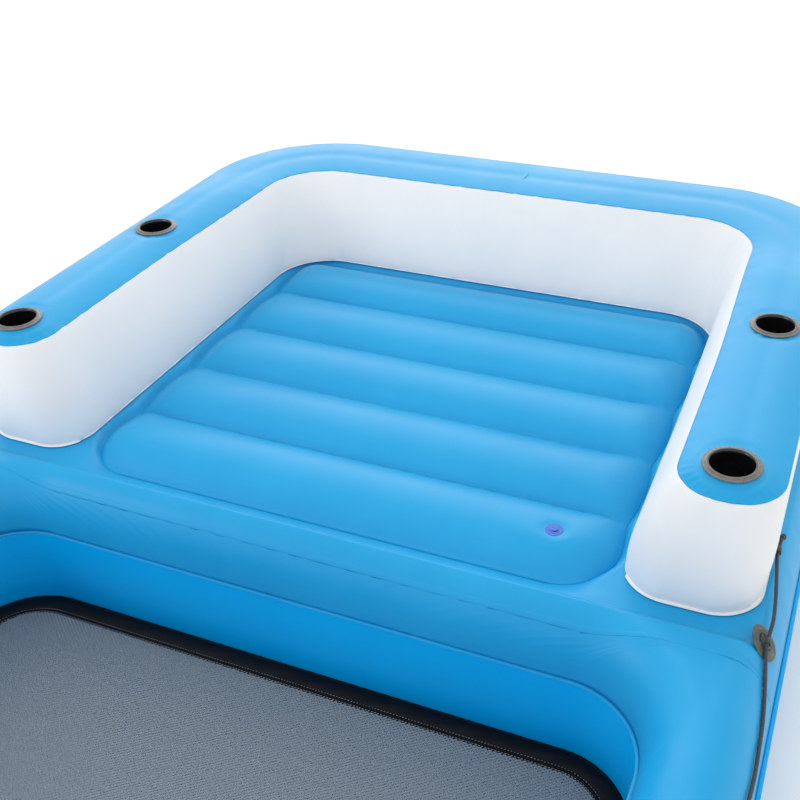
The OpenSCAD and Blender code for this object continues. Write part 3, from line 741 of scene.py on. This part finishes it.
def u_pairs(k, bulge_out=0.0, bulge_in=0.0, bulge_end=0.0):
    """Inner and outer points along the U at height share k, from the right arm's end to the left one."""
    hw_o, hw_i = REST_HW + 0.012 * k + bulge_out, BAY_HW + LEAN * k - bulge_in
    y_o = BACK_Y - 0.060 + 0.005 * k + bulge_out
    y_i = MAT_BACK + 0.016 + 0.128 * k - bulge_in
    y_e = MAT_Y + 0.012 + 0.030 * k - bulge_end
    r_o, r_i, r_e = 0.385 + bulge_out, 0.170 + 0.020 * k - bulge_in, 0.095 + bulge_out
    waist = 0.016 * k
    inner, outer = [], []
    for i in range(END_STEPS + 1):
        a = math.pi / 2 * i / END_STEPS
        s, y = r_e * (1 - math.sin(a)), y_e + r_e * (1 - math.cos(a))
        inner.append((hw_i + s, y))
        outer.append((hw_o - s, y))
    for i in range(1, ARM_STEPS + 1):
        f = i / ARM_STEPS
        inner.append((hw_i - waist * float(ease((f - 0.35) / 0.65)), mix(y_e + r_e, y_i - r_i, f)))
        outer.append((hw_o, mix(y_e + r_e, y_o - r_o, f)))
    for i in range(1, TURN_STEPS + 1):
        a = math.pi / 2 * i / TURN_STEPS
        inner.append((hw_i - waist - r_i + r_i * math.cos(a), y_i - r_i + r_i * math.sin(a)))
        outer.append((hw_o - r_o + r_o * math.cos(a), y_o - r_o + r_o * math.sin(a)))
    for i in range(1, BACK_STEPS + 1):
        f = i / BACK_STEPS
        inner.append(((hw_i - waist - r_i) * (1 - f), y_i))
        outer.append(((hw_o - r_o) * (1 - f), y_o))
    flip = np.array([-1, 1])
    inner, outer = np.array(inner), np.array(outer)
    return (np.concatenate([inner, inner[-2::-1] * flip]), np.concatenate([outer, outer[-2::-1] * flip]))


def u_loop(k, *bulges):
    inner, outer = u_pairs(k, *bulges)
    return np.concatenate([outer, inner[::-1]])


def outward(loop):
    """Unit vectors that point out of a closed anticlockwise loop."""
    ahead = across_loop(loop)
    ahead /= np.maximum(np.linalg.norm(ahead, axis=1), 1e-9)[:, None]
    return np.stack([ahead[:, 1], -ahead[:, 0]], 1)


def loop_dist(points, loop):
    """Distance from each point to a closed loop of segments."""
    a, b = loop, np.roll(loop, -1, 0)
    d = b - a
    length = np.maximum((d ** 2).sum(1), 1e-12)
    best = np.full(len(points), 1e9)
    for i in range(len(a)):
        t = np.clip(((points - a[i]) @ d[i]) / length[i], 0, 1)
        best = np.minimum(best, np.hypot(*(points - a[i] - t[:, None] * d[i]).T))
    return best


def wall_bulge(k):
    """How far the white wall swells at height share k, on its outer, inner and end faces."""
    swell = math.sin(math.pi * k) ** 0.75
    return 0.009 * swell, 0.022 * swell, 0.022 * swell


def panel_crown(edge, y):
    """Rise of the top panel above its seam at a distance in from its edge, lower along the back."""
    crown = mix(0.025, 0.009, ease((y - 0.85) / 0.30))
    return crown * (1 - (1 - np.clip(edge / PANEL_SIDE_W, 0, 1)) ** 2.1)


def backrest_pieces():
    run = loop_run(u_loop(0.0))
    inner_corner = len(run) - 1 - (END_STEPS + ARM_STEPS + TURN_STEPS // 2)
    rows = []
    for k in edge_steps(40, 1.25):
        loop = u_loop(k, *wall_bulge(k))
        out = outward(loop)
        seam = 0.0014 * ripple(run, 0.060, 5.0) * math.exp(-((1 - k) / 0.10) ** 2)
        foot = 0.0016 * ripple(run, 0.075, 7.0) * math.exp(-((k - 0.06) / 0.10) ** 2)
        crease = 0.006 * bell(run - run[inner_corner], 0.022) * math.sin(math.pi * k)
        loop = loop + out * (seam + foot - crease)[:, None]
        rows.append(at_height(loop, mix(WALL_FOOT_Z, TOP_SEAM_Z, k)))
    wall = grid_piece("backrest_wall_skin", np.array(rows), WHITE, "pvc_white", close_cols=True,
                      holes=[valve_holes()["backrest"]], flip=True)
    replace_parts(film(wall), "backrest_wall")

    inner, outer = u_pairs(1.0)
    shares = edge_steps(34, 1.5)
    plan = np.array([mix(inner, outer, k) for k in shares])
    x, y = plan[..., 0], plan[..., 1]
    edge = loop_dist(plan.reshape(-1, 2), u_loop(1.0)).reshape(x.shape)
    z = TOP_SEAM_Z + panel_crown(edge, y)
    angle = np.arctan2(y - (MAT_Y + ARM_END_IN), np.abs(x) - ARM_END_X)
    front = ease((MAT_Y + 0.150 - y) / 0.08)
    z = z - 0.0026 * bell(shares[:, None] - 0.5, 0.10) * (1 - front)
    z = z + 0.0013 * np.sin(30 * angle + 1.4 * np.sin(3 * angle)) * bell(edge - 0.014, 0.014) * front
    run = loop_run(outer)[None, :]
    z = z + 0.0010 * ripple(run, 0.080, 6.0) * bell(edge - 0.012, 0.016)
    seat_z = RING_LOW_Z - 0.0004
    holes = []
    for cup_x, cup_y in CUPS.values():
        away = np.hypot(x - cup_x, y - cup_y)
        z = mix(z, seat_z, np.exp(-(away / 0.071) ** 6))
        z = z - 0.0045 * bell(away - 0.066, 0.0075)
        holes.append(((cup_x, cup_y, seat_z), CUP_HOLE_R))
    top = grid_piece("backrest_top_skin", np.concatenate([plan, z[..., None]], 2), BLUE, "pvc_blue",
                     holes=holes)
    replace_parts(film(top), "backrest_top_panel")

    inner, outer = u_pairs(0.0)
    shares = np.linspace(0, 1, 12)
    grid = np.array([at_height(mix(inner, outer, k), WALL_FOOT_Z - 0.001) for k in shares])
    bottom = grid_piece("backrest_bottom_skin", grid, WHITE, "pvc_white", flip=True)
    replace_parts(film(bottom, HIDDEN_SKIN), "backrest_bottom_sheet")

    loop = u_loop(0.0)
    out = outward(loop)
    wave = 0.0010 * ripple(loop_run(loop), 0.11, 1.5)
    section = ((-0.0010, 0.0045), (0.0020, 0.0022), (0.0060, 0.0004), (0.0105, -0.0002), (0.0130, 0.0006),
               (0.0136, 0.0000), (0.0128, -0.0012), (0.0080, -0.0020), (0.0020, -0.0018), (-0.0010, -0.0010))
    bay = (np.abs(loop[:, 0]) < BAY_HW + 0.02) & (loop[:, 1] > MAT_Y + 0.06)
    wide = np.where(bay, 0.30, 0.66)
    rows = [at_height(loop + out * (o * wide + wave * wide * (o > 0.004))[:, None], WALL_FOOT_Z + up * 0.8)
            for o, up in section]
    hem = grid_piece("backrest_foot_hem_skin", np.array(rows), WHITE, "pvc_white", close_rows=True,
                     close_cols=True, flip=True)
    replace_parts(hem, "backrest_foot_hem")

    loop = u_loop(1.0)
    out = outward(loop)
    bead_r = 0.0016
    rows = [at_height(loop + out * (bead_r / 2 + bead_r * math.cos(t)), TOP_SEAM_Z + bead_r * math.sin(t))
            for t in full_turn(8)]
    grid_piece("backrest_top_seam", np.array(rows), BLUE, "pvc_blue", close_rows=True, close_cols=True,
               flip=True)

    y_low, y_high = (row[:, 1].max() for row in u_pairs(1.0))
    y = np.linspace(y_low + 0.003, y_high - 0.003, 60)
    edge = np.minimum(y - y_low, y_high - y)
    height = TOP_SEAM_Z + panel_crown(edge, y)
    rows = [np.c_[np.full_like(y, across), y, height + up]
            for across, up in ((-0.0065, -0.0004), (-0.0055, 0.0007), (0.0055, 0.0007), (0.0065, -0.0004))]
    grid_piece("backrest_top_joint", np.array(rows), BLUE, "pvc_blue", close_rows=True, flip=True)


# ---------------------------------------------------------------- cup holders


def cup_pieces():
    for name, (x, y) in CUPS.items():
        top, low = CUP_TOP_Z, span(f"cup_liner_{name}", 2)[0]
        liner = lathe(f"cup_{name}", (
            (0.0004, low), (0.0440, low), (0.0472, low + 0.003), (0.0480, top - 0.004),
            (0.0500, top - 0.0022), (0.0508, top - 0.0010), (0.0500, top), (0.0470, top + 0.0002),
            (0.0452, top - 0.0010), (0.0446, top - 0.010), (0.0440, low + 0.012), (0.0420, low + 0.006),
            (0.0380, low + 0.003), (0.0300, low + 0.0035), (0.0290, low + 0.0045), (0.0270, low + 0.0045),
            (0.0260, low + 0.0035), (0.0004, low + 0.003)), (x, y, 0), BLACK, "cup_black")
        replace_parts(liner, f"cup_liner_{name}")
        low = RING_LOW_Z
        ring = lathe(f"cup_rim_{name}", (
            (0.0480, low), (0.0585, low - 0.0006), (0.0600, low + 0.0004), (0.0596, low + 0.0016),
            (0.0580, low + 0.0024), (0.0560, low + 0.0022), (0.0545, low + 0.0030), (0.0515, low + 0.0044),
            (0.0505, low + 0.0054), (0.0490, low + 0.0050), (0.0480, low + 0.0040)),
            (x, y, 0), RING, "cup_ring_grey")
        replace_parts(ring, f"cup_ring_{name}")


# ---------------------------------------------------------------- mesh floor

NET_PITCH, NET_ANGLE, STRAND_W, STRAND_T = 0.0070, math.radians(38), 0.0042, 0.0008
PIPING_R = 0.0024
STITCH, STITCH_GAP, STITCH_W, STITCH_T = 0.0046, 0.0030, 0.0010, 0.0008
BOX_SIDES = [(i, (i + 1) % 4) for i in range(4)]


def rod_faces(start, rings):
    """Faces of a closed rod through rings of four points each."""
    faces = []
    for low in range(start, start + 4 * rings - 4, 4):
        faces += [[low + i, low + 4 + i, low + 4 + j, low + j] for i, j in BOX_SIDES]
    end = start + 4 * rings - 1
    return faces + [[start, start + 1, start + 2, start + 3], [end, end - 1, end - 2, end - 3]]


def net_strands(angle, level):
    """Flat strands at an angle across the net, each cut where it meets the border's outline."""
    hw = WELL_HW - BORDER_W
    y0, y1 = WELL_FRONT + BORDER_W, WELL_BACK - BORDER_W
    r = WELL_CORNER_R - BORDER_W
    d = np.array([math.cos(angle), math.sin(angle)])
    n = np.array([-d[1], d[0]])
    centre = np.array([0, (y0 + y1) / 2])
    points, faces = [], []
    reach = math.hypot(hw, (y1 - y0) / 2)
    along = np.linspace(-reach, reach, 700)
    for offset in np.arange(-reach, reach, NET_PITCH):
        line = centre + n * offset + along[:, None] * d
        inside = rect_dist(line[:, 0], line[:, 1], hw, y0, y1, r, r) < 0.002
        if inside.sum() < 3:
            continue
        a, b = line[inside][0], line[inside][-1]
        half, low, high = n * STRAND_W / 2, level - STRAND_T / 2, level + STRAND_T / 2
        start = len(points)
        for p in (a, b):
            points += [(*(p - half), level), (*p, low), (*(p + half), level), (*p, high)]
        faces += rod_faces(start, 2)
    return points, faces


def mesh_pieces():
    strands = joined([net_strands(NET_ANGLE, MESH_Z + 0.0014), net_strands(-NET_ANGLE, MESH_Z + 0.0006)])
    net = mesh_piece("mesh_net", *strands, NET, "mesh_net", smooth=False)
    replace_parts(net, "mesh_floor")

    gap, lip = 0.001, 0.80  # gap to the well's wall, and share of the width where the inner lip starts
    rows = []
    for k in np.linspace(0, 1, 22):
        loop = well_loop(-gap - (BORDER_W - gap) * k, turn=24, run=120)
        dome = 0.0065 * math.sin(math.pi * min(k / lip, 1)) ** 0.7
        dome += 0.002 * math.sin(math.pi * max(k - lip, 0) / 0.2)
        wave = 0.0010 * ripple(loop_run(loop), 0.16, 2.5) * math.sin(math.pi * k)
        rows.append(at_height(loop, MESH_Z + 0.0015 + dome + wave))
    under = [at_height(row[:, :2], MESH_Z) for row in (rows[-1], rows[0])]
    border = grid_piece("mesh_border_vinyl", np.array(rows + under), NAVY, "navy_vinyl", close_rows=True,
                        close_cols=True, flip=True)
    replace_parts(border, "mesh_border")

    for name, inset in (("mesh_piping_outer", 0.010), ("mesh_piping_inner", BORDER_W - 0.006)):
        loop = at_height(well_loop(-inset, turn=24, run=120), MESH_Z + 0.0046)
        grid = rings_round(loop, across_loop(loop), PIPING_R, full_turn(10))
        piping = grid_piece(name, grid, PIPING, "navy_piping", close_rows=True, close_cols=True)
        if "outer" in name:
            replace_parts(piping, "mesh_piping")
    stitches("mesh_stitches_outer", BORDER_W - 0.0125, MESH_Z + 0.0022)
    stitches("mesh_stitches_inner", BORDER_W - 0.0018, MESH_Z + 0.0030)

    heights = [MESH_Z - down for down in (0.0004, 0.0004, 0.0024, 0.0024)]
    strip = lap("mesh_weld_band", lambda o: well_loop(-o), (0.0005, 0.030, 0.030, 0.0005), heights,
                DEEP, "pvc_deep_blue")
    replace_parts(strip, "mesh_weld_strip")


def resampled(curve, places):
    """Points at places along a curve, measured along it."""
    run = loop_run(curve)
    return np.stack([np.interp(places, run, column) for column in curve.T], 1)


def stitches(name, inset, level):
    """Row of sewn stitches along the border."""
    loop = well_loop(-inset, turn=40, run=200)
    loop = np.concatenate([loop, loop[:1]])
    starts = np.arange(0, loop_run(loop)[-1] - STITCH, STITCH + STITCH_GAP)
    a, b = resampled(loop, starts), resampled(loop, starts + STITCH)
    d = (b - a) / np.linalg.norm(b - a, axis=1)[:, None]
    n = np.stack([-d[:, 1], d[:, 0]], 1) * STITCH_W / 2
    points, faces = [], []
    for p, q, w in zip(a, b, n):
        start = len(points)
        for share, up in ((0, -0.0003), (0.25, 0.0006), (0.75, 0.0006), (1, -0.0003)):
            near, far = mix(p, q, share) - w, mix(p, q, share) + w
            high, low = level + up, level + up - STITCH_T
            points += [(*near, high), (*far, high), (*far, low), (*near, low)]
        faces += rod_faces(start, 4)
    mesh_piece(name, points, faces, THREAD, "navy_piping")


# ---------------------------------------------------------------- ropes, patches and straps

# Route of the right rope, in millimetres, as part.scad has it
ROPE_ROUTE = [
    (1007, 108, 410), (1005.3, 84, 409), (1005.3, 56, 409), (1010, 20, 401), (1016, -20, 391),
    (1021, -60, 381), (1024, -100, 371), (1022, -138, 361), (1022, -162, 360.6), (1025, -190, 351),
    (1033, -240, 337), (1042, -310, 319), (1046, -390, 311), (1047, -435, 309), (1046, -480, 311),
    (1042, -560, 319), (1033, -630, 337), (1025, -680, 351), (1022, -708, 360.6), (1022, -732, 360.6),
    (1025, -760, 351), (1033, -810, 337), (1041, -870, 321), (1044, -940, 316), (1041, -1010, 321),
    (1033, -1070, 337), (1025, -1120, 351), (1022, -1148, 360.6), (1022, -1172, 360.6), (1024, -1196, 359),
]
ROPE_R = 0.0040
BRAID_PITCH = 0.015
KNOT_R, KNOT_TURN_R, KNOT_OUT = np.array([0.0020, 0.0020, 0.0030]), 0.0030, np.array([0, 0.008, 0])
BASE_PATCH_YS = (-0.150, -0.720, -1.160)


def smooth_path(points, spacing):
    """Catmull-Rom curve through points, sampled at an even spacing."""
    p = np.array(points, float)
    p = np.concatenate([[2 * p[0] - p[1]], p, [2 * p[-1] - p[-2]]])
    t = np.linspace(0, 1, 40, endpoint=False)[:, None]
    parts = [0.5 * (2 * b + (c - a) * t + (2 * a - 5 * b + 4 * c - d) * t ** 2
                    + (3 * b - a - 3 * c + d) * t ** 3) for a, b, c, d in zip(p, p[1:], p[2:], p[3:])]
    curve = np.concatenate(parts + [p[-2:-1]])
    length = loop_run(curve)[-1]
    return resampled(curve, np.linspace(0, length, int(length / spacing) + 1))


def braid(run, angle):
    """Radius of a braided rope: two sets of strands that wind opposite ways."""
    turn = 2 * np.pi * run / BRAID_PITCH
    return 0.93 + 0.09 * np.maximum(np.cos(6 * angle - turn), np.cos(6 * angle + turn))


def fitting_at(place, tilt):
    """Function from a fitting's own points, drawn along +Z, to the frame."""
    c, s = math.cos(math.radians(tilt)), math.sin(math.radians(tilt))
    turn = np.array([[c, 0, s], [0, 1, 0], [-s, 0, c]])
    return lambda points: np.asarray(points, float).reshape(-1, 3) @ turn.T + np.array(place)


ARM_AT = fitting_at((0.9962, 0.070, 0.410), 97)
BASE_AT = [fitting_at((1.0152, y, 0.3545), 48) for y in BASE_PATCH_YS]
PATCH_PROFILE = (
    (0.0002, -0.0006), (0.0372, -0.0006), (0.0382, 0.0002), (0.0380, 0.0010), (0.0366, 0.0018),
    (0.0330, 0.0016), (0.0316, 0.0022), (0.0302, 0.0016), (0.0288, 0.0018), (0.0276, 0.0032),
    (0.0262, 0.0038), (0.0248, 0.0034), (0.0236, 0.0030), (0.0224, 0.0036), (0.0210, 0.0036),
    (0.0196, 0.0030), (0.0002, 0.0030))


def patch_mesh(turners):
    """Round moulded patch with raised rings, once at each place."""
    disc = turned(PATCH_PROFILE, full_turn(72))
    return joined([(turner(disc), grid_faces(*disc.shape[:2], True, True)) for turner in turners])


def strap_mesh(turners):
    """Moulded loop over the rope: feet on the patch and an arch, with rounded edges."""
    inner = ROPE_R + 0.0006
    feet = inner + 0.012
    line = [(-feet, 0.0046), (-inner - 0.004, 0.0046), (-inner - 0.0022, 0.0056)]
    line += [(-(inner + 0.0012) * math.cos(a), 0.0036 + inner + 0.001 + (inner + 0.0012) * math.sin(a))
             for a in np.radians(np.linspace(0, 180, 15))]
    line += [(inner + 0.0022, 0.0056), (inner + 0.004, 0.0046), (feet, 0.0046)]
    line = np.array(line)
    ahead = np.gradient(line, axis=0)
    ahead /= np.linalg.norm(ahead, axis=1)[:, None]
    up = np.stack([-ahead[:, 1], ahead[:, 0]], 1)
    section = ((-0.0090, 0), (-0.0084, 0.0009), (0.0084, 0.0009),
               (0.0090, 0), (0.0084, -0.0009), (-0.0084, -0.0009))
    rings = [[(p[0] + u[0] * h, y, p[1] + u[1] * h) for y, h in section] for p, u in zip(line, up)]
    points, faces = closed_rings(rings)
    faces = [f[::-1] for f in faces]
    return joined([(turner(points), faces) for turner in turners])


def knot_mesh(centre):
    """Stopper knot: a lumpy ball of three crossed turns."""
    t = full_turn(120)
    path = np.stack([np.sin(t) + 2 * np.sin(2 * t), np.cos(t) - 2 * np.cos(2 * t), -np.sin(3 * t)], 1)
    path = path * KNOT_R + centre
    grid = rings_round(path, across_loop(path), KNOT_TURN_R, full_turn(10))
    return grid.reshape(-1, 3), grid_faces(*grid.shape[:2], True, True)


def rope_pieces():
    route = smooth_path(np.array(ROPE_ROUTE) / 1000, 0.0014)
    ahead = across_loop(route)
    ahead[0], ahead[-1] = route[1] - route[0], route[-1] - route[-2]
    angles = full_turn(24)
    radii = ROPE_R * braid(loop_run(route)[:, None], angles[None, :])
    rope = closed_rings(rings_round(route, ahead, radii, angles))
    knots = joined([knot_mesh(route[0] + KNOT_OUT), knot_mesh(route[-1] - KNOT_OUT)])
    fittings = (
        ("rope_right", rope, ROPE, "rope_dark", "grab_rope_right"),
        ("knots_right", knots, ROPE, "rope_dark", "rope_knots_right"),
        ("arm_patch_disc_right", patch_mesh([ARM_AT]), PATCH, "patch_dark", "arm_patch_right"),
        ("base_patch_discs_right", patch_mesh(BASE_AT), PATCH, "patch_dark", "base_patches_right"),
        ("arm_strap_loop_right", strap_mesh([ARM_AT]), STRAP, "strap_dark", "arm_strap_right"),
        ("base_strap_loops_right", strap_mesh(BASE_AT), STRAP, "strap_dark", "base_straps_right"))
    right = [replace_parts(mesh_piece(name, *mesh, material, slot), node)
             for name, mesh, material, slot, node in fittings]
    for piece in right:
        left = mirrored(piece, piece.name.replace("_right", "_left"))
        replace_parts(left, *[n.replace("_right", "_left") for n in piece["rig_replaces"]])


# ---------------------------------------------------------------- valves and CAD nodes that show


def valve_holes():
    """Centre and radius of the hole that each valve's neck passes through, by chamber."""
    found = {}
    for chamber in ("mattress", "base", "backrest"):
        low, high = (np.array(corner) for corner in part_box(f"{chamber}_valve_flange"))
        centre = (low + high) / 2
        if chamber == "mattress":
            centre[2] = CREST_Z
        else:
            centre[1] = high[1] - 0.0022
        found[chamber] = (tuple(centre), VALVE_HOLE_R)
    return found


def carried_nodes():
    """Finish for the CAD nodes that stay: the inner webs and the valves' moving parts."""
    for name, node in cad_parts.items():
        if node.hide_render:
            continue
        material = VALVE if "valve" in name else WHITE if name.startswith("backrest") else BLUE
        node.data.materials.clear()
        node.data.materials.append(material)


camera()
studio()
base_pieces()
seam_pieces()
mattress_pieces()
backrest_pieces()
cup_pieces()
mesh_pieces()
rope_pieces()
carried_nodes()
